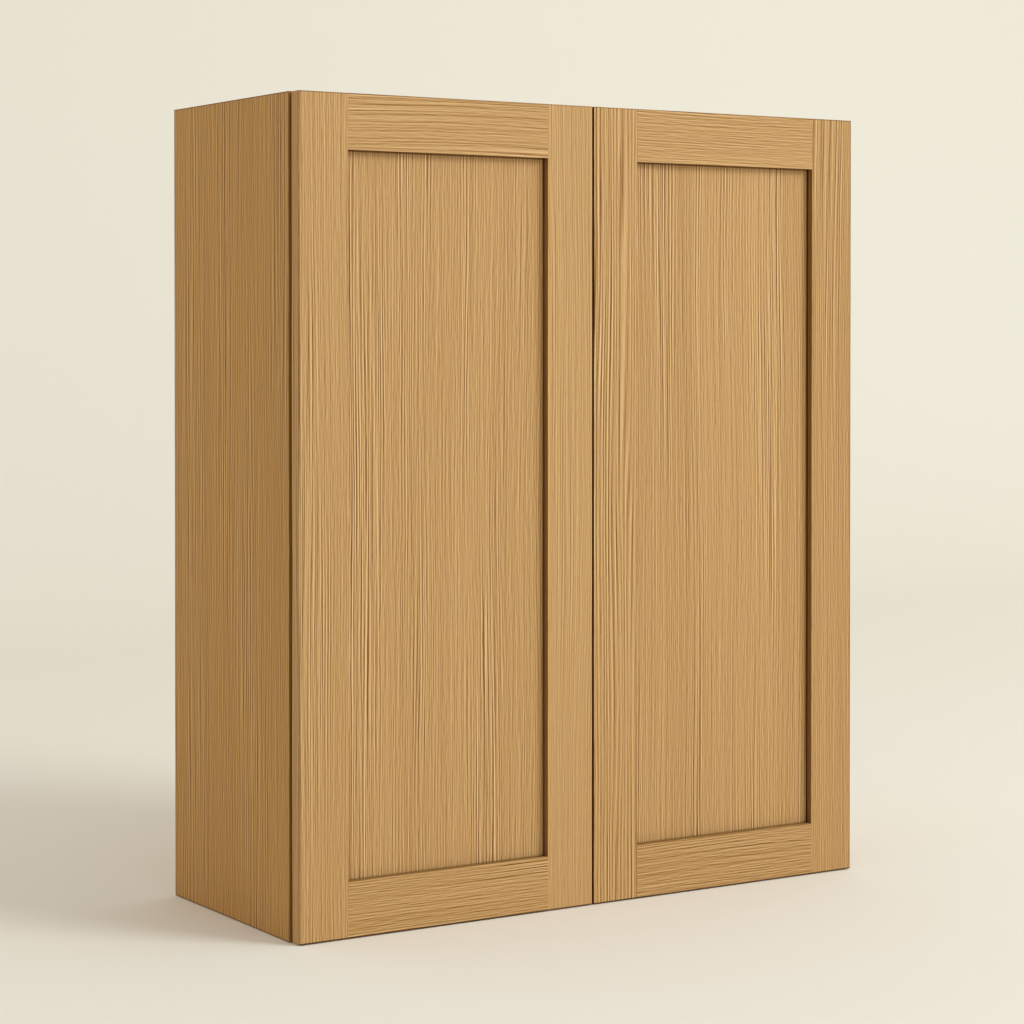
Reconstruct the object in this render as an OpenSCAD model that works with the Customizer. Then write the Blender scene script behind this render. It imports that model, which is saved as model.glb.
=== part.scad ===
// Hanging wall cabinet with two frame and panel doors on concealed hinges.
// Millimetres. x = 0 is the middle of the width, y = 0 the wall, z = 0 half the height.
// The front looks along -y. Hinge parts are drawn for the left door's lower or upper hinge
// and mirrored for the right door.

/* [Cabinet] */
// Overall width
cabinet_w = 762; // [600:1:914]
// Overall height
cabinet_h = 914; // [880:1:1000]
// Overall depth, doors included
cabinet_d = 305; // [290:1:400]
// Thickness of the carcass boards and of the doors
board_t = 16; // [16:1:18]
// Thickness of the edge bands
band_t = 1; // [0.5:0.5:2]

/* [Back] */
// Thickness of the back panel
back_t = 6; // [4:0.5:8]
// How far the back panel sits in its grooves
back_tongue = 6; // [4:0.5:8]
// Height of the two hanging rails
rail_h = 80; // [60:1:100]
// Distance between the wall screws, side to side
stud_pitch = 406.4; // [300:0.1:420]
// Radius of the wall screw holes
wall_hole_r = 2.75; // [2:0.05:4]

/* [Doors] */
// Gap between the doors and the carcass
door_gap = 4; // [4:0.5:5]
// How far each door's outer edge stands in from the side's face
side_reveal = 1.6; // [1:0.1:2]
// How far the doors stop short of the carcass's top and bottom
end_reveal = 0.5; // [0:0.5:2]
// Gap between the two doors
centre_gap = 3; // [2:0.5:4]
// Width of the stiles
stile_w = 60; // [58:1:80]
// Height of the door rails
door_rail_h = 61; // [50:1:90]
// How far the centre panel lies behind the frame's face
recess = 9.5; // [8:0.5:9.5]
// Thickness of the centre panel
panel_t = 4; // [3:0.5:4]
// Depth of the groove that holds the panel
panel_groove = 10; // [6:0.5:12]

/* [Shelves] */
// Which pin hole above or below the middle holds the upper and the lower shelf
shelf_step = 4.5; // [2.5:1:5.5]
// Gap between a shelf's end and the side
shelf_end_gap = 1.5; // [1:0.5:3]
// Distance from the shelf's front to the carcass front
shelf_setback = 22; // [20:1:60]

/* [Hinges] */
// Height of each hinge above or below the middle
hinge_z = 350; // [300:1:380]
// Radius of the cup's bore in the stile
cup_r = 17.5; // [17.5:0.5:17.5]
// From the carcass front to the plate's screws
plate_setback = 37; // [37:1:37]

/* [Hidden] */
$fn = 48;
fit = 0.1;
half_w = cabinet_w / 2;
half_h = cabinet_h / 2;
door_t = board_t;
carcass_front = -(cabinet_d - door_t - door_gap);
door_back = carcass_front - door_gap;
door_front = -cabinet_d;
inner_x = half_w - board_t;
inner_z = half_h - board_t;
board_front = carcass_front + band_t;

// The back panel stands in front of the hanging rails, which touch the wall.
back_rear = -board_t;
back_front = back_rear - back_t;
groove_slack = 0.5;
rail_z = inner_z - rail_h / 2;

// Shelf pins stand in two rows of holes, 32 mm apart up and down.
pin_pitch = 32;
pin_r = 2.5;
pin_hole_depth = 10;
pin_hole_count = 14;
pin_front_y = carcass_front + 37;
pin_rear_y = pin_front_y + 6 * pin_pitch;
pin_rest = 3;
pin_reach = 9;
shelf_front = carcass_front + shelf_setback;
shelf_rear = back_front - 2;

// Corner joints: a cam lock and bolt beside each dowel.
cam_r = 7.5;
cam_depth = 12.7;
cam_from_end = 34;
cam_bolt_r = 2.5;
cam_bolt_in_side = 11;
cam_ys = [carcass_front + 45, -50];
dowel_r = 4;
dowel_in_side = 10;
dowel_in_board = 20;
dowel_ys = [carcass_front + 77, -82];
rail_dowel_dz = 24;

// The left door's outline, seen from the front.
door_x0 = -half_w + side_reveal;
door_x1 = -centre_gap / 2;
door_z = half_h - end_reveal;
panel_front = door_front + recess;
tongue_in = panel_groove - 1;
bumper_r = 5;
bumper_t = door_gap - 0.3;

// Hinge, in plan: x runs inwards from the side's outer face, y into the cabinet from
// the carcass front. The outer link turns about arm_pin and the door about cup_pin.
// The inner link turns about short_pin, and its free end floats beside the cup's wall.
arm_pin = [32, 0];
cup_pin = [12, -10];
short_pin = [36, 7];
short_end = [13, -6.5];
link_elbows = [[19.5, -12.6], [26.5, -8.6]];
short_elbow = [26, -1];
link_half_t = 1.2;
short_half_t = 1;
hinge_pin_r = 1.25;
pin_slack = 0.05;
eye_r = 2.4;
cup_x = 23.5;
cup_wall = 1;
cup_depth = 11.5;
short_half_h = 2.5;
link_z0 = 2.9;
link_z1 = 5.4;
ear_z0 = 5.8;
ear_z1 = 7.3;
cup_pin_z1 = 11.9;
cup_screw_x = 33;
cup_screw_z = 22.5;
cup_screw_r = 1.75;
plate_screw_z = 16;
plate_screw_r = 1.75;
arm_screw_ys = [plate_setback - 4, plate_setback + 13];
arm_screw_r = 2;
arm_web_x = [31.5, 33];
plate_t = 2.5;

oak = "#c09a6b";
pale_oak = "#cdab7e";
steel = "#b9bcc0";
dark_steel = "#8d9095";
zinc = "#a6a9ad";

// A box from its lowest corner to its highest.
module block(low, high) {
  translate(low) cube(high - low);
}

// A cylinder along x, y or z from a centre on its starting face.
module rod_x(from, length, r) {
  translate(from) rotate([0, 90, 0]) cylinder(r = r, h = length);
}
module rod_y(from, length, r) {
  translate(from) rotate([-90, 0, 0]) cylinder(r = r, h = length);
}

// ---- Carcass ----

// The groove for the back panel, cut by every board of the carcass.
module back_groove() {
  reach = back_tongue + groove_slack;
  block([-inner_x - reach, back_front - fit, -inner_z - reach],
    [inner_x + reach, back_rear + fit, inner_z + reach]);
}

module side() {
  difference() {
    block([-half_w, board_front, -half_h], [-inner_x, 0, half_h]);
    back_groove();
    for (y = [pin_front_y, pin_rear_y], i = [0 : pin_hole_count - 1])
      rod_x([-inner_x - pin_hole_depth, y, (i - (pin_hole_count - 1) / 2) * pin_pitch],
        pin_hole_depth + 1, pin_r);
    for (s = [-1, 1]) {
      for (y = cam_ys)
        rod_x([-inner_x - cam_bolt_in_side, y, s * (half_h - board_t / 2)],
          cam_bolt_in_side + 1, cam_bolt_r);
      for (y = dowel_ys)
        rod_x([-inner_x - dowel_in_side - 1, y, s * (half_h - board_t / 2)],
          dowel_in_side + 2, dowel_r);
      for (t = [-1, 1])
        rod_x([-inner_x - dowel_in_side - 1, -board_t / 2, s * rail_z + t * rail_dowel_dz],
          dowel_in_side + 2, dowel_r);
      for (t = [-1, 1])
        rod_x([-inner_x - 12, carcass_front + plate_setback, s * hinge_z + t * plate_screw_z],
          13, plate_screw_r);
    }
  }
}

module left_side() {
  color(oak) side();
}
module right_side() {
  color(oak) mirror([1, 0, 0]) side();
}

// The bottom board. The top board is its mirror image.
module level_board() {
  difference() {
    block([-inner_x, board_front, -half_h], [inner_x, 0, -inner_z]);
    back_groove();
    for (s = [-1, 1]) {
      for (y = cam_ys) {
        translate([s * (inner_x - cam_from_end), y, -inner_z - cam_depth])
          cylinder(r = cam_r, h = cam_depth + 1);
        rod_x([s * (inner_x - cam_from_end / 2) - cam_from_end / 2, y,
          -half_h + board_t / 2], cam_from_end, dowel_r);
      }
      for (y = dowel_ys)
        rod_x([s * (inner_x - dowel_in_board / 2) - dowel_in_board / 2 - 1, y,
          -half_h + board_t / 2], dowel_in_board + 2, dowel_r);
    }
  }
}

module top_board() {
  color(oak) mirror([0, 0, 1]) level_board();
}
module bottom_board() {
  color(oak) level_board();
}

module carcass_edge_bands() {
  color(oak) {
    for (s = [-1, 1]) {
      block([s * (half_w - board_t / 2) - board_t / 2, carcass_front, -half_h],
        [s * (half_w - board_t / 2) + board_t / 2, board_front, half_h]);
      block([-inner_x + fit, carcass_front, s * (half_h - board_t / 2) - board_t / 2],
        [inner_x - fit, board_front, s * (half_h - board_t / 2) + board_t / 2]);
    }
  }
}

// The four wall screws pass through the back panel and the hanging rails.
module wall_holes() {
  for (s = [-1, 1], t = [-1, 1])
    rod_y([s * stud_pitch / 2, back_front - 1, t * rail_z], back_t + board_t + 2, wall_hole_r);
}

module back_panel() {
  color(pale_oak) difference() {
    block([-inner_x - back_tongue, back_front, -inner_z - back_tongue],
      [inner_x + back_tongue, back_rear, inner_z + back_tongue]);
    wall_holes();
  }
}

module hanging_rail(s) {
  color(pale_oak) difference() {
    block([-inner_x, back_rear, s * rail_z - rail_h / 2], [inner_x, 0, s * rail_z + rail_h / 2]);
    wall_holes();
    for (e = [-1, 1], t = [-1, 1])
      rod_x([e * (inner_x - dowel_in_board / 2) - dowel_in_board / 2 - 1, -board_t / 2,
        s * rail_z + t * rail_dowel_dz], dowel_in_board + 2, dowel_r);
  }
}
module top_hanging_rail() {
  hanging_rail(1);
}
module bottom_hanging_rail() {
  hanging_rail(-1);
}

// ---- Shelves ----

function pin_z(s) = s * shelf_step * pin_pitch;

module shelf(s) {
  color(oak) block([-inner_x + shelf_end_gap, shelf_front + band_t, pin_z(s) + pin_rest],
    [inner_x - shelf_end_gap, shelf_rear, pin_z(s) + pin_rest + board_t]);
}
module lower_shelf() {
  shelf(-1);
}
module upper_shelf() {
  shelf(1);
}

module shelf_edge_bands() {
  color(oak) for (s = [-1, 1])
    block([-inner_x + shelf_end_gap, shelf_front, pin_z(s) + pin_rest],
      [inner_x - shelf_end_gap, shelf_front + band_t, pin_z(s) + pin_rest + board_t]);
}

// A barrel in the side's hole, a collar and a flat tongue under the shelf.
module shelf_pin(y, z) {
  rod_x([-inner_x - pin_hole_depth + 1, y, z], pin_hole_depth, pin_r - 0.05);
  rod_x([-inner_x, y, z], 1, 4);
  block([-inner_x + 0.5, y - 3.5, z + pin_rest - 2], [-inner_x + pin_reach, y + 3.5, z + pin_rest]);
}
module shelf_pins(s) {
  color(steel) for (y = [pin_front_y, pin_rear_y]) {
    shelf_pin(y, pin_z(s));
    mirror([1, 0, 0]) shelf_pin(y, pin_z(s));
  }
}
module lower_shelf_pins() {
  shelf_pins(-1);
}
module upper_shelf_pins() {
  shelf_pins(1);
}

// ---- Joinery ----

// One copy at each end of the top and bottom boards. Children are drawn at the lower left.
module four_corners() {
  for (s = [0, 1], t = [0, 1])
    mirror([s, 0, 0]) mirror([0, 0, t]) children();
}

// A round body with a slot for the bolt's head and a cross recess for the screwdriver.
module cam_locks() {
  color(zinc) four_corners() for (y = cam_ys)
    translate([-inner_x + cam_from_end, y, -inner_z - cam_depth + 0.2])
      difference() {
        cylinder(r = cam_r - fit, h = cam_depth - 0.3);
        translate([-cam_r - 1, -4, 0.8]) cube([cam_r + 4, 8, 8]);
        for (w = [[5, 1], [1, 5]])
          translate([-w[0] / 2, -w[1] / 2, cam_depth - 2.3]) cube([w[0], w[1], 3]);
      }
}

// A thread in the side, a shaft in the board's end and a head held by the cam.
module cam_bolts() {
  color(steel) four_corners() for (y = cam_ys) {
    z = -half_h + board_t / 2;
    rod_x([-inner_x - cam_bolt_in_side + 0.5, y, z], cam_bolt_in_side, cam_bolt_r - 0.02);
    rod_x([-inner_x, y, z], cam_from_end - 5, 3);
    rod_x([-inner_x + cam_from_end - 5, y, z], 3, 1.8);
    rod_x([-inner_x + cam_from_end - 2, y, z], 3, 3.4);
  }
}

module dowel(y, z) {
  rod_x([-inner_x - dowel_in_side, y, z], dowel_in_side + dowel_in_board, dowel_r - 0.02);
}
module dowels() {
  color(pale_oak) four_corners() {
    for (y = dowel_ys)
      dowel(y, -half_h + board_t / 2);
    for (t = [-1, 1])
      dowel(-board_t / 2, -rail_z + t * rail_dowel_dz);
  }
}

// ---- Doors: each is drawn as the left one ----

// The panel groove, cut along the inner edge of every frame member.
module panel_slot() {
  block([door_x0 + stile_w - panel_groove, panel_front - fit, -door_z - 1],
    [door_x1 - stile_w + panel_groove, panel_front + panel_t + fit, door_z + 1]);
}

module hinge_stile() {
  color(oak) difference() {
    block([door_x0, door_front, -door_z], [door_x0 + stile_w, door_back, door_z]);
    panel_slot();
    for (s = [-1, 1]) {
      rod_y([-half_w + cup_x, door_back - cup_depth - 0.3, s * hinge_z], cup_depth + 1, cup_r);
      for (t = [-1, 1])
        rod_y([-half_w + cup_screw_x, door_back - 12, s * hinge_z + t * cup_screw_z],
          13, cup_screw_r);
    }
  }
}

module lock_stile() {
  color(oak) difference() {
    block([door_x1 - stile_w, door_front, -door_z], [door_x1, door_back, door_z]);
    panel_slot();
  }
}

// The bottom rail, with a tenon at each end in the stiles' grooves.
module door_rail() {
  top = -door_z + door_rail_h;
  color(oak) difference() {
    union() {
      block([door_x0 + stile_w, door_front, -door_z], [door_x1 - stile_w, door_back, top]);
      block([door_x0 + stile_w - tongue_in, panel_front, -door_z],
        [door_x1 - stile_w + tongue_in, panel_front + panel_t, top - panel_groove]);
    }
    block([door_x0, panel_front - fit, top - panel_groove],
      [door_x1, panel_front + panel_t + fit, top + 1]);
  }
}

module centre_panel() {
  color(oak) block(
    [door_x0 + stile_w - tongue_in, panel_front, -door_z + door_rail_h - tongue_in],
    [door_x1 - stile_w + tongue_in, panel_front + panel_t, door_z - door_rail_h + tongue_in]);
}

module bumpers() {
  color("#d9d9d6") for (s = [-1, 1])
    rod_y([door_x1 - 25, door_back, s * (half_h - board_t / 2)], bumper_t, bumper_r);
}

module left_hinge_stile() {
  hinge_stile();
}
module left_lock_stile() {
  lock_stile();
}
module left_door_top_rail() {
  mirror([0, 0, 1]) door_rail();
}
module left_door_bottom_rail() {
  door_rail();
}
module left_centre_panel() {
  centre_panel();
}
module left_bumpers() {
  bumpers();
}
module right_hinge_stile() {
  mirror([1, 0, 0]) hinge_stile();
}
module right_lock_stile() {
  mirror([1, 0, 0]) lock_stile();
}
module right_door_top_rail() {
  mirror([1, 0, 0]) mirror([0, 0, 1]) door_rail();
}
module right_door_bottom_rail() {
  mirror([1, 0, 0]) door_rail();
}
module right_centre_panel() {
  mirror([1, 0, 0]) centre_panel();
}
module right_bumpers() {
  mirror([1, 0, 0]) bumpers();
}

// ---- Hinges, drawn in their plan frame and placed by at_hinge ----

// side 0 is the left door and 1 the right; level is -1 for the lower hinge and 1 for the upper.
module at_hinge(side, level) {
  mirror([side, 0, 0]) translate([-half_w, carcass_front, level * hinge_z]) children();
}
module both_levels(side) {
  for (level = [-1, 1])
    at_hinge(side, level) children();
}

// A strip of half thickness h between two points, with round ends.
module strip(a, b, h) {
  d = b - a;
  translate(a) rotate(atan2(d[1], d[0])) translate([0, -h]) square([norm(d), 2 * h]);
  translate(a) circle(r = h);
  translate(b) circle(r = h);
}
module path_strip(points, h) {
  for (i = [0 : len(points) - 2])
    strip(points[i], points[i + 1], h);
}

// The steel cup, with its fixing flange on the door's back face and bores for its pin.
module cup() {
  floor_y = -door_gap - cup_depth;
  color(steel) difference() {
    union() {
      rod_y([cup_x, floor_y, 0], cup_depth + 1, cup_r - fit);
      translate([0, -door_gap + 1, 0]) rotate([90, 0, 0]) linear_extrude(1) {
        translate([cup_x + 4.5, -cup_screw_z]) square([10, 2 * cup_screw_z]);
        for (s = [-1, 1])
          translate([cup_screw_x, s * cup_screw_z]) circle(r = 5);
      }
    }
    rod_y([cup_x, floor_y + cup_wall, 0], cup_depth + 2, cup_r - fit - cup_wall);
    block([0, -door_gap, -cup_r], [cup_x - 7, 0, cup_r]);
    translate([cup_pin[0], cup_pin[1], -cup_pin_z1])
      cylinder(r = hinge_pin_r + pin_slack, h = 2 * cup_pin_z1);
    for (s = [-1, 1])
      rod_y([cup_screw_x, -door_gap - 1, s * cup_screw_z], 3, cup_screw_r + pin_slack);
  }
}

// The outer link: two bent cheeks joined by a bridge outside their elbow.
module outer_link() {
  color(dark_steel) difference() {
    union() {
      for (s = [0, 1])
        mirror([0, 0, s]) translate([0, 0, link_z0]) linear_extrude(link_z1 - link_z0) {
          path_strip(concat([cup_pin], link_elbows, [arm_pin]), link_half_t);
          translate(cup_pin) circle(r = eye_r);
          translate(arm_pin) circle(r = eye_r);
        }
      translate([0, 0, -link_z0 - 0.5]) linear_extrude(2 * link_z0 + 1)
        strip([25, -11], [27.6, -9.5], 0.7);
    }
    for (p = [cup_pin, arm_pin])
      translate([p[0], p[1], -link_z1 - 1])
        cylinder(r = hinge_pin_r + pin_slack, h = 2 * link_z1 + 2);
  }
}

// The inner link: one bent strip with an eye on the arm and a rolled free end.
module inner_link() {
  color(dark_steel) difference() {
    translate([0, 0, -short_half_h]) linear_extrude(2 * short_half_h) {
      path_strip([short_pin, short_elbow, short_end], short_half_t);
      translate(short_pin) circle(r = eye_r);
      translate(short_end) circle(r = 1.9);
    }
    translate([short_pin[0], short_pin[1], -short_half_h - 1])
      cylinder(r = hinge_pin_r + pin_slack, h = 2 * short_half_h + 2);
    translate([short_end[0], short_end[1], -short_half_h - 1])
      cylinder(r = 0.9, h = 2 * short_half_h + 2);
  }
}

// The arm: two cheeks carrying the links' pins, and a web screwed to the plate.
module arm() {
  color(steel) difference() {
    union() {
      for (s = [0, 1])
        mirror([0, 0, s]) translate([0, 0, ear_z0]) linear_extrude(ear_z1 - ear_z0) {
          polygon([[29, 0], [30, -2.2], [34, -2.2], [39, 6], [38.6, 8.5], [arm_web_x[1], 19],
            [arm_web_x[1], 58], [21, 58], [21, 25], [24, 18]]);
          translate(arm_pin) circle(r = 3);
          translate(short_pin) circle(r = 3);
        }
      block([arm_web_x[0], 21, -ear_z1], [arm_web_x[1], 58, ear_z1]);
    }
    for (p = [arm_pin, short_pin])
      translate([p[0], p[1], -ear_z1 - 1])
        cylinder(r = hinge_pin_r + pin_slack, h = 2 * ear_z1 + 2);
    for (y = arm_screw_ys)
      rod_x([arm_web_x[0] - 1, y, 0], 4, arm_screw_r + pin_slack);
  }
}

// The mounting plate: a winged base on the side, and a block between the arm's cheeks.
module plate() {
  color(steel) difference() {
    union() {
      block([board_t, plate_setback - 7, -plate_screw_z - 7],
        [board_t + plate_t, plate_setback + 7, plate_screw_z + 7]);
      block([board_t, plate_setback - 12, -ear_z0 + 0.4],
        [board_t + 14, plate_setback + 22, ear_z0 - 0.4]);
    }
    for (s = [-1, 1])
      rod_x([board_t - 1, plate_setback, s * plate_screw_z], plate_t + 2,
        plate_screw_r + pin_slack);
    for (y = arm_screw_ys)
      rod_x([board_t + 4, y, 0], 12, arm_screw_r);
  }
}

module left_upper_cup() {
  at_hinge(0, 1) cup();
}
module left_lower_cup() {
  at_hinge(0, -1) cup();
}
module right_upper_cup() {
  at_hinge(1, 1) cup();
}
module right_lower_cup() {
  at_hinge(1, -1) cup();
}
module left_upper_outer_link() {
  at_hinge(0, 1) outer_link();
}
module left_lower_outer_link() {
  at_hinge(0, -1) outer_link();
}
module right_upper_outer_link() {
  at_hinge(1, 1) outer_link();
}
module right_lower_outer_link() {
  at_hinge(1, -1) outer_link();
}
module left_upper_inner_link() {
  at_hinge(0, 1) inner_link();
}
module left_lower_inner_link() {
  at_hinge(0, -1) inner_link();
}
module right_upper_inner_link() {
  at_hinge(1, 1) inner_link();
}
module right_lower_inner_link() {
  at_hinge(1, -1) inner_link();
}
module left_upper_arm() {
  at_hinge(0, 1) arm();
}
module left_lower_arm() {
  at_hinge(0, -1) arm();
}
module right_upper_arm() {
  at_hinge(1, 1) arm();
}
module right_lower_arm() {
  at_hinge(1, -1) arm();
}
module left_upper_plate() {
  at_hinge(0, 1) plate();
}
module left_lower_plate() {
  at_hinge(0, -1) plate();
}
module right_upper_plate() {
  at_hinge(1, 1) plate();
}
module right_lower_plate() {
  at_hinge(1, -1) plate();
}

// In each arm, a through pin for the inner link, and a short pin in each cheek for the
// outer link, so that the inner link can swing between them.
module arm_pins() {
  color(dark_steel) for (side = [0, 1])
    both_levels(side) {
      translate([short_pin[0], short_pin[1], -ear_z1]) cylinder(r = hinge_pin_r, h = 2 * ear_z1);
      for (s = [0, 1])
        mirror([0, 0, s]) translate([arm_pin[0], arm_pin[1], link_z0])
          cylinder(r = hinge_pin_r, h = ear_z1 - link_z0);
    }
}

// Two short pins in each cup's wall, one for each cheek of the outer link.
module cup_pins(side) {
  color(dark_steel) both_levels(side) for (s = [0, 1])
    mirror([0, 0, s]) translate([cup_pin[0], cup_pin[1], link_z0])
      cylinder(r = hinge_pin_r, h = cup_pin_z1 - link_z0 - fit);
}
module left_cup_pins() {
  cup_pins(0);
}
module right_cup_pins() {
  cup_pins(1);
}

// A screw along y or x with a dished head and a cross recess.
module screw(length, r, head_r, head_h) {
  difference() {
    union() {
      translate([0, 0, -length]) cylinder(r = r, h = length);
      cylinder(r = head_r, h = head_h);
    }
    for (w = [[head_r, 0.8], [0.8, head_r]])
      translate([-w[0] / 2, -w[1] / 2, head_h / 3]) cube([w[0], w[1], head_h]);
  }
}

module cup_screws(side) {
  color(zinc) both_levels(side) for (s = [-1, 1])
    translate([cup_screw_x, -door_gap + 1, s * cup_screw_z])
      rotate([-90, 0, 0]) screw(12.5, cup_screw_r, 3.2, 1.2);
}
module left_cup_screws() {
  cup_screws(0);
}
module right_cup_screws() {
  cup_screws(1);
}

module plate_screws() {
  color(zinc) for (side = [0, 1])
    both_levels(side) for (s = [-1, 1])
      translate([board_t + plate_t, plate_setback, s * plate_screw_z])
        rotate([0, 90, 0]) screw(14, plate_screw_r, 3.5, 1.5);
}

module arm_screws() {
  color(zinc) for (side = [0, 1])
    both_levels(side) for (y = arm_screw_ys)
      translate([arm_web_x[1], y, 0]) rotate([0, 90, 0]) screw(12, arm_screw_r, 3.8, 2);
}

left_side();
right_side();
top_board();
bottom_board();
carcass_edge_bands();
back_panel();
top_hanging_rail();
bottom_hanging_rail();
lower_shelf();
upper_shelf();
shelf_edge_bands();
lower_shelf_pins();
upper_shelf_pins();
cam_locks();
cam_bolts();
dowels();
left_hinge_stile();
left_lock_stile();
left_door_top_rail();
left_door_bottom_rail();
left_centre_panel();
left_bumpers();
right_hinge_stile();
right_lock_stile();
right_door_top_rail();
right_door_bottom_rail();
right_centre_panel();
right_bumpers();
left_upper_cup();
left_lower_cup();
right_upper_cup();
right_lower_cup();
left_upper_outer_link();
left_lower_outer_link();
right_upper_outer_link();
right_lower_outer_link();
left_upper_inner_link();
left_lower_inner_link();
right_upper_inner_link();
right_lower_inner_link();
left_upper_arm();
left_lower_arm();
right_upper_arm();
right_lower_arm();
left_upper_plate();
left_lower_plate();
right_upper_plate();
right_lower_plate();
arm_pins();
left_cup_pins();
right_cup_pins();
left_cup_screws();
right_cup_screws();
plate_screws();
arm_screws();
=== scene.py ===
import math
import bpy
import numpy as np
from mathutils import Euler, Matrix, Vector


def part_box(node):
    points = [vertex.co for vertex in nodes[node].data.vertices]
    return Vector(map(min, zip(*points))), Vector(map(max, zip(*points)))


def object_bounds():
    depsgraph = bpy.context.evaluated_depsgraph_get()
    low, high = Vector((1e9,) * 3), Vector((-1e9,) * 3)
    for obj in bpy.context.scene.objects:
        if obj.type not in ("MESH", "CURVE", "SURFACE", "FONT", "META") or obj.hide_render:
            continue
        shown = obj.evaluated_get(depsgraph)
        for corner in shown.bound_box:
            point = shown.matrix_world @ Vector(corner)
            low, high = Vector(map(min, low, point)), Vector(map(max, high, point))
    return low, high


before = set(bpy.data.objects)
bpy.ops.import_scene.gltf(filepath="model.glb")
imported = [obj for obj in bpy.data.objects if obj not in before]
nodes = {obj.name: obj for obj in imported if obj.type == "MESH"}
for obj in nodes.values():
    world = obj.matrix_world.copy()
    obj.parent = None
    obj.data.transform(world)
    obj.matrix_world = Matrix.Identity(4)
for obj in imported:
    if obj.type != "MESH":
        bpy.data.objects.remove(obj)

cadLow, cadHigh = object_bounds()
scene = bpy.context.scene
print("frame loaded:", len(nodes), "CAD nodes")


def linear(red, green, blue):
    # Screen colour of 0 to 255 to linear light: below 0.04 divided by 12.92, above it the 2.4 power curve
    channels = [c / 255 for c in (red, green, blue)]
    light = [c / 12.92 if c <= 0.04045 else ((c + 0.055) / 1.055) ** 2.4 for c in channels]
    return (*light, 1.0)


def fill(tree, node, links):
    # Gives a node's inputs, by name or number, a value or another node's socket
    for name, value in links.items():
        if isinstance(value, bpy.types.NodeSocket):
            tree.links.new(value, node.inputs[name])
        else:
            node.inputs[name].default_value = value


def put(tree, kind, links=None, **settings):
    # One shader node, with its inputs filled and its own settings set
    node = tree.nodes.new("ShaderNode" + kind)
    for name, value in settings.items():
        setattr(node, name, value)
    fill(tree, node, links or {})
    return node


def calc(tree, operation, *values):
    # The operation on its values, in order, as one Math node
    return put(tree, "Math", dict(enumerate(values)), operation=operation).outputs[0]


def noise(tree, across, seed, along, detail):
    # Smooth noise of about 0.5, read at three coordinates that are already scaled
    place = put(tree, "CombineXYZ", {0: across, 1: seed, 2: along}).outputs[0]
    return put(tree, "TexNoise", {"Vector": place, "Scale": 1.0, "Detail": detail}).outputs["Fac"]


def spread(tree, value, low, high, outLow=0.0, outHigh=1.0):
    # Goes smoothly from outLow to outHigh as value goes from low to high, and stays there beyond
    ends = {"Value": value, "From Min": low, "From Max": high, "To Min": outLow, "To Max": outHigh}
    return put(tree, "MapRange", ends, interpolation_type="SMOOTHSTEP").outputs["Result"]


def blended(tree, factor, first, second):
    # The first colour where factor is 0, the second where it is 1
    return put(tree, "Mix", {"Factor": factor, 6: first, 7: second}, data_type="RGBA").outputs[2]


def objectPlace(tree):
    # The point on the piece, in metres
    return put(tree, "TexCoord").outputs["Object"]


def newGroup(name, inputs, outputs):
    # A shader node group with its named sockets: each input is (name, kind, value)
    group = bpy.data.node_groups.new(name, "ShaderNodeTree")
    for label, kind, value in inputs:
        socket = group.interface.new_socket(label, in_out="INPUT", socket_type="NodeSocket" + kind)
        if value is not None:
            socket.default_value = value
    for label, kind in outputs:
        group.interface.new_socket(label, in_out="OUTPUT", socket_type="NodeSocket" + kind)
    return group, group.nodes.new("NodeGroupInput").outputs, group.nodes.new("NodeGroupOutput").inputs


stage = {
    # The paper is painted lighter on the floor than on the wall, and lighter to the right on the wall:
    # painted light, where the key falls more strongly
    "floorTone": (240, 234, 220),
    "wallLeft": (238, 231, 215),
    "wallRight": (248, 242, 225),
    "toneChange": (-0.9, 1.6),    # from the floor's tone to the wall's, along y
    "wallChange": (0.8, 5.5),     # from the wall's left tone to its right one, along x
    "wallDistance": 4.6,      # metres behind the cabinet's back
    "coveRadius": 2.4,
    "coveSteps": 25,
    "wallHeight": 7.0,
    "halfWidth": 14.0,
    "frontReach": 14.0,
    "clearance": 0.0006,      # below the cabinet, so that the two never touch
    "roughness": 0.95,
    "specular": 0.1,
}
lights = {
    "keyPlace": (3.6, -5.0, 3.8),
    "keySize": 3.2,
    "keyPower": 243.0,
    "keyTone": (0.93, 1.0, 0.99),
    "worldTone": (0.862, 0.843, 0.826),
    "worldPower": 0.78,
    "brightSide": (0.77, -0.45, 0.45),    # where the room is brightest, as a unit direction
    "brightExtra": (0.2, 0.27, 0.42),     # how much brighter each colour is there, and darker opposite
}
camera = {
    "place": (-1.6974, -2.7992, 0.1977),
    "heading": -32.472,       # degrees, turned from +Y towards +X
    "tiltDown": 0.768,
    "lens": 92.77,            # millimetres, on the sensor below
    "sensor": 36.0,
    "shiftY": -0.14,
    "nearest": 0.05,
    "farthest": 60.0,
}


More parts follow.
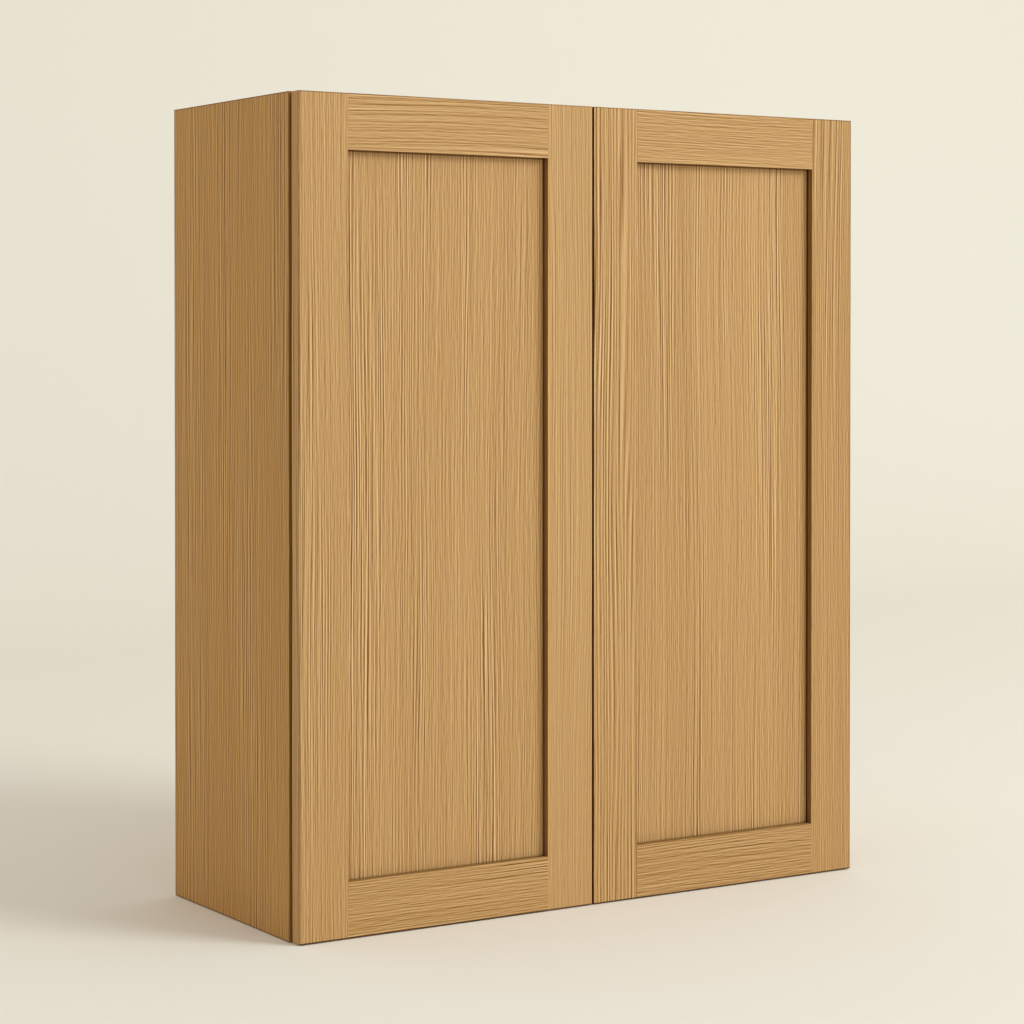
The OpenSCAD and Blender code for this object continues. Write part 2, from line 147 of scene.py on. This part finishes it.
def makeStage():
    # The backdrop's profile runs along the floor, up a quarter circle and up the wall; it is carried
    # sideways in a straight line: point (side, along) = (side * halfWidth, y(along), z(along)).
    floor = cadLow.z - stage["clearance"]
    radius = stage["coveRadius"]
    wallY = stage["wallDistance"]
    turn = np.linspace(0, math.pi / 2, stage["coveSteps"])
    y = np.concatenate([[-stage["frontReach"]], wallY - radius + radius * np.sin(turn), [wallY]])
    z = np.concatenate([[0.0], radius * (1 - np.cos(turn)), [stage["wallHeight"]]]) + floor
    side = np.array([-1.0, 1.0]) * stage["halfWidth"]
    count = len(y)
    points = np.stack([np.repeat(side, count), np.tile(y, 2), np.tile(z, 2)], axis=1)
    first = np.arange(count - 1)
    faces = np.stack([first, first + count, first + count + 1, first + 1], axis=1)
    mesh = bpy.data.meshes.new("backdrop")
    mesh.from_pydata(points.tolist(), [], faces.tolist())
    mesh.shade_smooth()
    backdrop = bpy.data.objects.new("backdrop", mesh)
    scene.collection.objects.link(backdrop)
    paper = bpy.data.materials.new("backdropPaper")
    paper.use_nodes = True
    tree = paper.node_tree
    shader = tree.nodes["Principled BSDF"]
    place = put(tree, "SeparateXYZ", {0: objectPlace(tree)}).outputs
    # Painted light: the floor's tone changes to the wall's along y, and the wall grows lighter towards the
    # right along x
    far = spread(tree, place[1], *stage["toneChange"])
    right = spread(tree, place[0], *stage["wallChange"])
    wall = blended(tree, right, linear(*stage["wallLeft"]), linear(*stage["wallRight"]))
    tone = blended(tree, far, linear(*stage["floorTone"]), wall)
    tree.links.new(tone, shader.inputs["Base Color"])
    shader.inputs["Roughness"].default_value = stage["roughness"]
    shader.inputs["Specular IOR Level"].default_value = stage["specular"]
    mesh.materials.append(paper)


def makeLights():
    # The room's light in each colour = its tone * (1 + extra * how far a direction faces the bright
    # side, from -1 to 1), with one large round lamp that points at the origin
    world = bpy.data.worlds.new("studio")
    world.use_nodes = True
    tree = world.node_tree
    sky = tree.nodes["Background"]
    sky.inputs["Strength"].default_value = lights["worldPower"]
    way = put(tree, "TexCoord").outputs["Generated"]
    sides = {0: way, 1: lights["brightSide"]}
    facing = put(tree, "VectorMath", sides, operation="DOT_PRODUCT").outputs["Value"]
    channels = []
    for tone, extra in zip(lights["worldTone"], lights["brightExtra"]):
        brighter = calc(tree, "ADD", calc(tree, "MULTIPLY", facing, extra), 1.0)
        channels.append(calc(tree, "MULTIPLY", brighter, tone))
    tree.links.new(put(tree, "CombineColor", dict(enumerate(channels))).outputs[0], sky.inputs["Color"])
    scene.world = world
    key = bpy.data.lights.new("key", "AREA")
    key.shape = "DISK"
    key.size = lights["keySize"]
    key.energy = lights["keyPower"]
    key.color = lights["keyTone"]
    keyLamp = bpy.data.objects.new("key", key)
    keyLamp.location = lights["keyPlace"]
    keyLamp.rotation_euler = (-Vector(lights["keyPlace"])).to_track_quat("-Z", "Y").to_euler()
    scene.collection.objects.link(keyLamp)


def makeCamera():
    # Level, then tilted down about its own side axis, then turned about the upright by the heading
    seen = bpy.data.cameras.new("camera")
    seen.lens = camera["lens"]
    seen.sensor_width = camera["sensor"]
    seen.shift_y = camera["shiftY"]
    seen.clip_start = camera["nearest"]
    seen.clip_end = camera["farthest"]
    body = bpy.data.objects.new("camera", seen)
    body.location = camera["place"]
    tilt = math.radians(90 - camera["tiltDown"])
    body.rotation_euler = Euler((tilt, 0.0, math.radians(camera["heading"])), "XYZ")
    scene.collection.objects.link(body)
    scene.camera = body


makeStage()
makeLights()
makeCamera()
scene.view_settings.view_transform = "Standard"
scene.view_settings.look = "None"
print("stage, lights and camera made")


oakTones = {                  # from the darkest line to the lightest, as screen colours
    0.0: (112, 70, 22),
    0.3: (164, 121, 67),
    0.5: (188, 146, 92),
    0.7: (206, 165, 111),
    1.0: (229, 190, 137),
}


grainLayers = {               # each layer's frequency across and along the board, its seed and its detail
    "sway": (5.0, 1.7, 1.3, 1.0),
    "tremble": (70.0, 6.0, 2.7, 1.0),
    "streaks": (820.0, 44.0, 3.1, 0.0),
    "fineLines": (600.0, 4.5, 4.9, 0.0),
    "broad": (24.0, 0.9, 5.7, 2.0),
    "bands": (23.0, 1.3, 6.1, 1.0),
    "drift": (40.0, 1.6, 7.9, 1.0),
    "uneven": (190.0, 7.0, 9.3, 1.0),
}
grain = {
    "swayWeight": 3.0,
    "trembleReach": 0.0025,
    "streakShift": 0.001,     # metres between a line and its lit flank
    "fineShift": 0.0013,
    "bandEdges": (-0.04, 0.12),
    "driftWeight": 4.0,       # how far the growth rings' spacing wanders
    "unevenBase": 0.7,
    "unevenWeight": 2.2,
    "boldBase": 0.5,          # how bold the fine lines are outside the bands
    "boldInBands": 0.8,       # and how much bolder inside them
    "streakWeight": 0.4,
    "fineWeight": 0.85,
    "ringWeight": 0.15,
    "broadWeight": 0.16,
    "poreScale": (1700.0, 75.0),
    "poreDetail": 1.0,
    "poreEdges": (0.6, 0.72),
    "poreDepth": -0.25,
    "poreDirt": 0.13,
}


def makeGrainGroup():
    # Grain of a sawn board. Across is the sum of the two directions that cross the grain, so lines
    # have one spacing on faces and edges and run diagonally over end grain. Growth rings are a sine
    # of the distance across over their spacing, and all the layers are added by their weights.
    inputs = [("Vector", "Vector", None), ("Seed", "Float", 0.0), ("Fine", "Float", 1.0),
              ("Rings", "Float", 0.5), ("Spacing", "Float", 0.004), ("Sway", "Float", 0.006),
              ("Even", "Float", 0.0)]
    outputs = [("Shade", "Float"), ("Pores", "Float"), ("Height", "Float")]
    group, given, out = newGroup("oakGrain", inputs, outputs)
    axes = put(group, "SeparateXYZ", {0: given["Vector"]}).outputs
    across = calc(group, "ADD", axes[0], axes[1])
    along = axes[2]
    seed = given["Seed"]

    def layer(name, source):
        # Noise stretched along the grain, centred on nought
        acrossScale, alongScale, shift, detail = grainLayers[name]
        read = noise(group, calc(group, "MULTIPLY", source, acrossScale), calc(group, "ADD", seed, shift),
                     calc(group, "MULTIPLY", along, alongScale), detail)
        return calc(group, "SUBTRACT", read, 0.5)

    def total(*parts):
        # Sum of (value, weight) pairs
        summed = None
        for value, weight in parts:
            term = calc(group, "MULTIPLY", value, weight)
            summed = term if summed is None else calc(group, "ADD", summed, term)
        return summed

    sway = calc(group, "MULTIPLY", layer("sway", across), given["Sway"])
    tremble = layer("tremble", across)
    wander = total((sway, grain["swayWeight"]), (tremble, grain["trembleReach"]))
    swayed = calc(group, "ADD", across, wander)

    def relief(name, shift):
        # A line and its lit flank: the same noise read twice, a little apart, one taken from the other
        beside = calc(group, "ADD", swayed, shift)
        return calc(group, "SUBTRACT", layer(name, swayed), layer(name, beside))

    streaks = relief("streaks", grain["streakShift"])
    fineLines = relief("fineLines", grain["fineShift"])
    broad = layer("broad", swayed)
    bands = spread(group, layer("bands", swayed), *grain["bandEdges"])

    phase = calc(group, "ADD", calc(group, "DIVIDE", swayed, given["Spacing"]),
                 calc(group, "MULTIPLY", layer("drift", swayed), grain["driftWeight"]))
    wave = calc(group, "SINE", calc(group, "MULTIPLY", phase, math.tau))
    uneven = calc(group, "ADD", grain["unevenBase"],
                  calc(group, "MULTIPLY", layer("uneven", swayed), grain["unevenWeight"]))
    banded = calc(group, "MULTIPLY", wave, calc(group, "MAXIMUM", bands, given["Even"]))
    rings = calc(group, "MULTIPLY", banded, calc(group, "MULTIPLY", uneven, given["Rings"]))

    bolder = calc(group, "ADD", grain["boldBase"], calc(group, "MULTIPLY", bands, grain["boldInBands"]))
    boldLines = calc(group, "MULTIPLY", fineLines, bolder)
    thin = total((streaks, grain["streakWeight"]), (boldLines, grain["fineWeight"]))
    fine = calc(group, "MULTIPLY", thin, given["Fine"])
    lines = total((fine, 1.0), (rings, grain["ringWeight"]))
    shade = total((lines, 1.0), (broad, grain["broadWeight"]))
    poreAcross = calc(group, "MULTIPLY", across, grain["poreScale"][0])
    poreAlong = calc(group, "MULTIPLY", along, grain["poreScale"][1])
    poreNoise = noise(group, poreAcross, seed, poreAlong, grain["poreDetail"])
    pores = spread(group, poreNoise, *grain["poreEdges"])
    height = total((lines, 1.0), (pores, grain["poreDepth"]))
    for label, value in (("Shade", shade), ("Pores", pores), ("Height", height)):
        group.links.new(value, out[label])
    return group


def makeShadeGroup():
    # Painted shade in a box-shaped zone: 1 minus Dark inside the box, back to 1 over
    # Reach, by how far the point lies outside the box along its worst axis.
    inputs = [("Vector", "Vector", None), ("Shade", "Float", 1.0), ("Centre", "Vector", None),
              ("Half", "Vector", None), ("Reach", "Float", 0.001), ("Dark", "Float", 0.5)]
    group, given, out = newGroup("paintedShadeZone", inputs, [("Shade", "Float")])
    ends = {0: given["Vector"], 1: given["Centre"]}
    offset = put(group, "VectorMath", ends, operation="SUBTRACT").outputs[0]
    apart = put(group, "VectorMath", {0: offset}, operation="ABSOLUTE").outputs[0]
    beyond = put(group, "VectorMath", {0: apart, 1: given["Half"]}, operation="SUBTRACT").outputs[0]
    axes = put(group, "SeparateXYZ", {0: beyond}).outputs
    worst = calc(group, "MAXIMUM", axes[0], calc(group, "MAXIMUM", axes[1], axes[2]))
    fade = calc(group, "SUBTRACT", 1.0, calc(group, "DIVIDE", worst, given["Reach"]))
    mask = calc(group, "MINIMUM", calc(group, "MAXIMUM", fade, 0.0), 1.0)
    kept = calc(group, "SUBTRACT", 1.0, calc(group, "MULTIPLY", mask, given["Dark"]))
    group.links.new(calc(group, "MULTIPLY", given["Shade"], kept), out["Shade"])
    return group


grainGroup = makeGrainGroup()
shadeGroup = makeShadeGroup()
grainTurn = {                 # turns that bring a board's grain onto the pattern's third axis
    "x": (0.0, math.pi / 2, 0.0),
    "z": (0.0, 0.0, 0.0),
}


oakSurface = {
    "dirtAndShadeTint": (1.2, 1.6),       # powers that take more of green and most of blue where pore dirt and painted shade darken it
    "roughness": (0.62, 0.5),     # in the darkest and in the lightest lines
    "bumpStrength": 0.3,
    "bumpDistance": 0.0005,
    "specular": 0.22,
    "seedShift": 0.37,            # metres along the grain from one seed to the next
    "seedStep": 7.31,
}


def makeOak(name, run="z", seed=0.0, fine=1.0, rings=0.5, spacing=0.004, sway=0.006, even=0.0,
            tone=1.0, tint=(1.0, 1.0, 1.0), shades=()):
    # Colour = the tone that the grain's shade picks, times the dirt in pores and the painted shade in
    # corners, recesses, gaps and along edges, which takes more from green than from red and most from blue
    made = bpy.data.materials.new(name)
    made.use_nodes = True
    tree = made.node_tree
    shader = tree.nodes["Principled BSDF"]
    place = objectPlace(tree)
    shifted = (0.0, 0.0, seed * oakSurface["seedShift"])
    turned = put(tree, "Mapping", {"Vector": place, "Rotation": grainTurn[run], "Location": shifted})
    choices = {"Vector": turned.outputs[0], "Seed": seed * oakSurface["seedStep"], "Fine": fine,
               "Rings": rings, "Spacing": spacing, "Sway": sway, "Even": even}
    grainNode = put(tree, "Group", node_tree=grainGroup)
    fill(tree, grainNode, choices)
    shade = calc(tree, "ADD", grainNode.outputs["Shade"], 0.5)
    ramp = put(tree, "ValToRGB", {"Fac": shade})
    steps = ramp.color_ramp.elements
    for at, colour in oakTones.items():
        step = steps[0] if at == 0.0 else steps[-1] if at == 1.0 else steps.new(at)
        step.color = linear(*(min(255, c * tone * t) for c, t in zip(colour, tint)))
    dirtAndShade = calc(tree, "SUBTRACT", 1.0, calc(tree, "MULTIPLY", grainNode.outputs["Pores"], grain["poreDirt"]))
    # Painted shade: each zone darkens the colour where shade falls in recesses, corners and gaps, and draws
    # dark lines along edges
    for centre, half, reach, dark in shades:
        zone = put(tree, "Group", node_tree=shadeGroup)
        fill(tree, zone, {"Vector": place, "Shade": dirtAndShade, "Centre": [v / 1000 for v in centre],
                          "Half": [v / 1000 for v in half], "Reach": reach / 1000, "Dark": dark})
        dirtAndShade = zone.outputs["Shade"]
    green, blue = [calc(tree, "POWER", dirtAndShade, power) for power in oakSurface["dirtAndShadeTint"]]
    warmed = put(tree, "CombineColor", {0: dirtAndShade, 1: green, 2: blue}).outputs[0]
    mixed = put(tree, "Mix", {"Factor": 1.0, 6: ramp.outputs["Color"], 7: warmed},
                data_type="RGBA", blend_type="MULTIPLY").outputs[2]
    tree.links.new(mixed, shader.inputs["Base Color"])
    rough = spread(tree, shade, 0.0, 1.0, *oakSurface["roughness"])
    tree.links.new(rough, shader.inputs["Roughness"])
    bump = put(tree, "Bump", {"Strength": oakSurface["bumpStrength"], "Height": grainNode.outputs["Height"],
                              "Distance": oakSurface["bumpDistance"]})
    tree.links.new(bump.outputs[0], shader.inputs["Normal"])
    shader.inputs["Specular IOR Level"].default_value = oakSurface["specular"]
    return made


def lineOf(name, corner, axis):
    # Where a piece's lowest (0) or highest (1) corner lies along an axis, in millimetres
    return round(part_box(name)[corner][axis] * 1000, 2)


# The right door's lines and the carcass's, in millimetres; the left door's x lines are their negatives
front = lineOf("right_hinge_stile", 0, 1)
panelFront = lineOf("right_centre_panel", 0, 1)
doorTop = lineOf("right_hinge_stile", 1, 2)
ledge = lineOf("right_door_top_rail", 0, 2)
recessOuter = lineOf("right_hinge_stile", 0, 0)
recessInner = lineOf("right_lock_stile", 1, 0)
doorOuter = lineOf("right_hinge_stile", 1, 0)
doorInner = lineOf("right_lock_stile", 0, 0)
sideX = lineOf("right_side", 1, 0)
sideTop = lineOf("right_side", 1, 2)
carcassFront = lineOf("carcass_edge_bands", 0, 1)

# Painted shade: these zones darken the oak where shade falls in recesses, corners and gaps, and draw dark
# lines of shade along edges and at the doors' feet
paintedShading = {                       # how much darker each painted place is, from 0 to 1
    "recessWall": 0.5,
    "recessCorner": 0.75,
    "railCorner": 0.6,
    "upperLedge": 0.6,
    "lowerLedge": 0.35,
    "centreGap": 0.75,
    "doorFoot": 0.8,
    "doorHead": 0.45,
    "doorOuter": 0.3,
    "panelSides": 0.7,
    "panelTop": 0.6,
    "panelBottom": 0.3,
    "rimTop": 0.55,
    "rimBottom": 0.45,
    "rimBack": 0.5,
    "bands": 0.5,
}
# Each zone of painted shade is (middle, half size, reach, dark), in millimetres, where reach is its soft rim
endless = 999                     # half a size that passes the whole board
faceHalf = 0.25                   # half the thickness of a zone that holds one flat face
recessDepth = (-299.8, 4.2)       # middle and half depth, along y, of the recess walls
gapDepth = (-296.8, 7.3)          # and of the doors' facing edges
cornerLine = (0.4, 1.3, 0.7)      # half width, half depth and reach of a frame's corner on its panel
panelLines = {                    # half width and reach of the panel's own corner lines
    "sides": (1.2, 0.8),
    "top": (1.5, 0.9),
    "bottom": (1.3, 0.8),
}
panelDrop = 0.4                   # how far the panel's level lines lie under the rails
barHalf = 0.9                     # half the width of a line on a board's edge
barReach = 0.5
bandHalf = 5                      # of the side bands' darker front
leftOuterHalf = 1.6
rightOuterHalf = 1.0


def facingShade(at, dark, depth):
    # Paints shade on a narrow upright face that lies at x = at, over a middle and half depth along y
    return ((at, depth[0], 0), (faceHalf, depth[1], endless), faceHalf, dark)


def levelShade(at, dark, depth):
    # Paints shade on a narrow level face that lies at z = at, over a middle and half depth along y
    return ((0, depth[0], at), (endless, depth[1], faceHalf), faceHalf, dark)


def edgeShade(dark, x=None, y=None, z=None, width=barHalf):
    # Paints a thin dark line of shade along a board's edge, which runs in the direction that isn't given
    centre = [v or 0 for v in (x, y, z)]
    half = [endless if v is None else width for v in (x, y, z)]
    return (centre, half, barReach, dark)


def doorEnds(*sides):
    # Painted shade: the thin dark line at a door's foot and the paler one at its head
    return [edgeShade(paintedShading["doorFoot" if side < 0 else "doorHead"], y=front, z=side * doorTop)
            for side in sides]


def doorEdges(inner, outer):
    # A stile's painted shade: on the recess wall, with its corner against the panel, then on the outer edge
    halfWidth, halfDepth, reach = cornerLine
    corner = ((inner, panelFront, 0), (halfWidth, halfDepth, endless), reach, paintedShading["recessCorner"])
    return [facingShade(inner, paintedShading["recessWall"], recessDepth), corner, outer, *doorEnds(-1, 1)]


def railEdges(side):
    # A rail's painted shade: on the recess ledge and its corner, then at the door's end
    halfWidth, halfDepth, reach = cornerLine
    place = (0, panelFront, side * ledge)
    corner = (place, (endless, halfDepth, halfWidth), reach, paintedShading["railCorner"])
    dark = paintedShading["upperLedge" if side > 0 else "lowerLedge"]
    return [levelShade(side * ledge, dark, recessDepth), corner, *doorEnds(side)]


def panelEdges(side):
    # The panel's painted shade lines in its corners against the four sides of its frame, on the left (-1) or
    # right (1)
    half, reach = panelLines["sides"]
    uprights = sorted((side * recessOuter, side * recessInner))
    lines = [((at, 0, 0), (half, endless, endless), reach, paintedShading["panelSides"]) for at in uprights]
    for name, z, dark in (("top", ledge + panelDrop, paintedShading["panelTop"]),
                          ("bottom", -ledge - panelDrop, paintedShading["panelBottom"])):
        half, reach = panelLines[name]
        lines.append(((0, 0, z), (endless, endless, half), reach, dark))
    return lines


def sideRim(x):
    # Painted dark lines of shade along the outer rim of a side board
    return [edgeShade(paintedShading["rimTop"], x=x, z=sideTop), edgeShade(paintedShading["rimBottom"], x=x, z=-sideTop),
            edgeShade(paintedShading["rimBack"], x=x, y=0)]


def outerEdge(side, width):
    # A painted dark line of shade on the door's outer front edge, on the left (-1) or right (1)
    return edgeShade(paintedShading["doorOuter"], x=side * doorOuter, y=front, width=width)


def gapEdge(side):
    # Painted shade on the face that looks at the other door, across the centre gap
    return facingShade(side * doorInner, paintedShading["centreGap"], gapDepth)


carcassTint = (1.0, 0.968, 0.85)      # on each colour, over the doors' own tone
paleTint = (1.05, 1.06, 1.1)

# What a user would change on each board: the direction in which the grain runs, its seed, the strength
# of its fine lines and growth rings, the rings' spacing in metres, how far the grain sways, how even
# the rings are from band to band, a tint on each colour and the places darkened by painted shade.
boards = {
    "left_side": dict(run="z", seed=1, fine=1.5, rings=0.8, tint=carcassTint, shades=sideRim(-sideX)),
    "right_side": dict(run="z", seed=2, fine=1.5, rings=0.8, tint=carcassTint, shades=sideRim(sideX)),
    "top_board": dict(run="x", seed=3, fine=1.0, rings=0.8, tint=carcassTint),
    "bottom_board": dict(run="x", seed=4, fine=1.0, rings=0.8, tint=carcassTint),
    # The bands' front carries painted shade near the sides, where it lies behind the doors' edges
    "carcass_edge_bands": dict(run="z", seed=5, fine=0.8, rings=0.3, tint=carcassTint,
                               shades=[edgeShade(paintedShading["bands"], x=x, y=carcassFront, width=bandHalf)
                                       for x in (-sideX, sideX)]),
    "back_panel": dict(run="z", seed=6, fine=0.7, rings=0.5, tint=paleTint),
    "top_hanging_rail": dict(run="x", seed=7, fine=1.2, rings=0.9, tint=paleTint),
    "bottom_hanging_rail": dict(run="x", seed=8, fine=1.2, rings=0.9, tint=paleTint),
    "lower_shelf": dict(run="x", seed=9, fine=1.0, rings=0.8, tint=carcassTint),
    "upper_shelf": dict(run="x", seed=10, fine=1.0, rings=0.8, tint=carcassTint),
    "shelf_edge_bands": dict(run="x", seed=11, fine=0.8, rings=0.3, tint=carcassTint),
    "dowels": dict(run="x", seed=12, fine=0.6, rings=0.0, tint=paleTint),
    "left_hinge_stile": dict(run="z", seed=13, fine=1.0, rings=0.3,
                             shades=doorEdges(-recessOuter, outerEdge(-1, leftOuterHalf))),
    "left_lock_stile": dict(run="z", seed=14, fine=0.55, rings=0.1, tint=(1.01, 1.018, 1.03),
                            shades=doorEdges(-recessInner, gapEdge(-1))),
    "left_door_top_rail": dict(run="x", seed=15, fine=0.9, rings=0.6, shades=railEdges(1)),
    "left_door_bottom_rail": dict(run="x", seed=16, fine=1.35, rings=0.9, tint=(0.98, 0.978, 0.96),
                                  shades=railEdges(-1)),
    "left_centre_panel": dict(run="z", seed=17, fine=1.1, rings=1.8, spacing=0.0036, even=0.1,
                              shades=panelEdges(-1)),
    "right_lock_stile": dict(run="z", seed=18, fine=0.8, rings=2.2, spacing=0.0048, even=0.8, sway=0.003,
                             shades=doorEdges(recessInner, gapEdge(1))),
    "right_hinge_stile": dict(run="z", seed=19, fine=1.0, rings=0.4, tint=(0.97, 0.962, 0.945),
                              shades=doorEdges(recessOuter, outerEdge(1, rightOuterHalf))),
    "right_door_top_rail": dict(run="x", seed=20, fine=1.15, rings=0.8, shades=railEdges(1)),
    "right_door_bottom_rail": dict(run="x", seed=21, fine=1.35, rings=1.0, tint=(0.97, 0.966, 0.95),
                                   shades=railEdges(-1)),
    "right_centre_panel": dict(run="z", seed=22, fine=1.1, rings=1.6, spacing=0.0038, even=0.1,
                               shades=panelEdges(1)),
}
easing = {
    "width": 0.0007,
    "thinWidth": 0.0004,      # for the 1 mm edge bands
    "segments": 3,
    "arrisHighlight": 1.18,          # how much paler the arris is than the face: a painted highlight
    "joinWithin": 0.000002,   # metres between triangle corners that are one point
    "flatWithin": 0.4,        # degrees between triangles that are one face
    "sharpFrom": 40,          # degrees at an edge that is rounded
}


def ease(board, width):
    # Rounds the sharp edges: loose triangles are joined, flat ones merged, and the edges bevelled
    weld = board.modifiers.new("join", "WELD")
    weld.merge_threshold = easing["joinWithin"]
    flat = board.modifiers.new("flatten", "DECIMATE")
    flat.decimate_type = "DISSOLVE"
    flat.angle_limit = math.radians(easing["flatWithin"])
    rounded = board.modifiers.new("ease", "BEVEL")
    rounded.width = width
    rounded.segments = easing["segments"]
    rounded.limit_method = "ANGLE"
    rounded.angle_limit = math.radians(easing["sharpFrom"])
    rounded.harden_normals = True
    rounded.material = 1      # the second slot, which holds the arris material with its painted highlight


for name, choice in boards.items():
    board = nodes[name]
    board.material_slots[0].material = makeOak(name + "_oak", **choice)
    # The arris material is the board's oak made paler: a painted highlight along the rounded edges
    board.data.materials.append(makeOak(name + "_arris_highlight", tone=easing["arrisHighlight"], **choice))
    ease(board, easing["thinWidth" if "bands" in name else "width"])
print("oak boards finished:", len(boards))


plating = {
    "cloudScale": 120.0,
    "spotScale": 420.0,
    "spotEdges": (0.28, 0.1),     # distance from a spot's middle where it begins, and where it is full
    "wearEdges": (0.36, 0.64),
    "spotWeight": 0.35,
    "detail": 3.0,
    "bumpStrength": 0.15,
    "bumpDistance": 0.0001,
}


def makePlateGroup():
    # Plated metal. Wear = half rubbed lines and half soft clouds, plus small dull spots; it takes the
    # colour from light to dull and the roughness from low to high.
    inputs = [("Vector", "Vector", None), ("Stretch", "Vector", None), ("Light", "Color", None),
              ("Dull", "Color", None), ("RoughLow", "Float", 0.25), ("RoughHigh", "Float", 0.42)]
    outputs = [("Color", "Color"), ("Roughness", "Float"), ("Height", "Float")]
    group, given, out = newGroup("platedMetal", inputs, outputs)
    factors = {0: given["Vector"], 1: given["Stretch"]}
    stretched = put(group, "VectorMath", factors, operation="MULTIPLY").outputs[0]
    lines = {"Vector": stretched, "Scale": 1.0, "Detail": plating["detail"]}
    rubbed = put(group, "TexNoise", lines).outputs["Fac"]
    clouds = {"Vector": given["Vector"], "Scale": plating["cloudScale"], "Detail": plating["detail"]}
    cloud = put(group, "TexNoise", clouds).outputs["Fac"]
    cells = {"Vector": given["Vector"], "Scale": plating["spotScale"]}
    spots = put(group, "TexVoronoi", cells).outputs["Distance"]
    dull = calc(group, "MULTIPLY", spread(group, spots, *plating["spotEdges"]), plating["spotWeight"])
    wear = calc(group, "ADD", calc(group, "MULTIPLY", rubbed, 0.5), calc(group, "MULTIPLY", cloud, 0.5))
    spotted = calc(group, "ADD", spread(group, wear, *plating["wearEdges"]), dull)
    worn = calc(group, "MINIMUM", spotted, 1.0)
    tone = blended(group, worn, given["Light"], given["Dull"])
    span = calc(group, "SUBTRACT", given["RoughHigh"], given["RoughLow"])
    rough = calc(group, "ADD", given["RoughLow"], calc(group, "MULTIPLY", worn, span))
    for label, value in (("Color", tone), ("Roughness", rough), ("Height", rubbed)):
        group.links.new(value, out[label])
    return group


plateGroup = makePlateGroup()

# What a user would change on each metal: its brightest and dullest colour, the range of its roughness
# and the noise frequencies along x, y and z, where the lowest is the direction that it was rubbed in.
metals = {
    "nickel_steel": dict(light=(214, 209, 200), dull=(176, 171, 162), low=0.22, high=0.4,
                         stretch=(900.0, 90.0, 900.0)),
    "hinge_link_steel": dict(light=(150, 149, 147), dull=(104, 103, 102), low=0.3, high=0.5,
                             stretch=(200.0, 200.0, 1600.0)),
    "zinc": dict(light=(188, 191, 196), dull=(136, 139, 144), low=0.34, high=0.55,
                 stretch=(700.0, 700.0, 700.0)),
}


def makeMetal(name, light, dull, low, high, stretch):
    # Wear takes the colour from light to dull and the roughness from low to high
    made = bpy.data.materials.new(name + "_metal")
    made.use_nodes = True
    tree = made.node_tree
    shader = tree.nodes["Principled BSDF"]
    plate = put(tree, "Group", node_tree=plateGroup)
    fill(tree, plate, {"Vector": objectPlace(tree), "Stretch": stretch, "Light": linear(*light),
                       "Dull": linear(*dull), "RoughLow": low, "RoughHigh": high})
    shader.inputs["Metallic"].default_value = 1.0
    tree.links.new(plate.outputs["Color"], shader.inputs["Base Color"])
    tree.links.new(plate.outputs["Roughness"], shader.inputs["Roughness"])
    bump = put(tree, "Bump", {"Strength": plating["bumpStrength"], "Height": plate.outputs["Height"],
                              "Distance": plating["bumpDistance"]})
    tree.links.new(bump.outputs[0], shader.inputs["Normal"])
    return made


bumper = {
    "tone": (226, 227, 222),
    "dusty": (200, 199, 190),
    "dustScale": 600.0,
    "dustDetail": 3.0,
    "dustEdges": (0.4, 0.65),
    "roughEdges": (0.3, 0.7),
    "roughness": (0.28, 0.5),     # where it is clean and where it is dusty
    "transmission": 0.55,
    "bend": 1.46,                 # index of refraction
}


def makeBumper():
    # Soft clear plastic: dust takes the colour to a duller tone and makes it rougher
    made = bpy.data.materials.new("clear_bumper_soft")
    made.use_nodes = True
    tree = made.node_tree
    shader = tree.nodes["Principled BSDF"]
    grains = {"Vector": objectPlace(tree), "Scale": bumper["dustScale"], "Detail": bumper["dustDetail"]}
    dust = put(tree, "TexNoise", grains).outputs["Fac"]
    dusty = spread(tree, dust, *bumper["dustEdges"])
    tone = blended(tree, dusty, linear(*bumper["tone"]), linear(*bumper["dusty"]))
    tree.links.new(tone, shader.inputs["Base Color"])
    rough = spread(tree, dust, *bumper["roughEdges"], *bumper["roughness"])
    tree.links.new(rough, shader.inputs["Roughness"])
    shader.inputs["Transmission Weight"].default_value = bumper["transmission"]
    shader.inputs["IOR"].default_value = bumper["bend"]
    return made


finishes = {name: makeMetal(name, **choice) for name, choice in metals.items()}
finishes["clear_bumper"] = makeBumper()
hardware = [name for name in nodes if name not in boards]
for name in hardware:
    slot = nodes[name].material_slots[0]
    slot.material = finishes[slot.name]
print("metal and bumpers finished:", len(hardware))
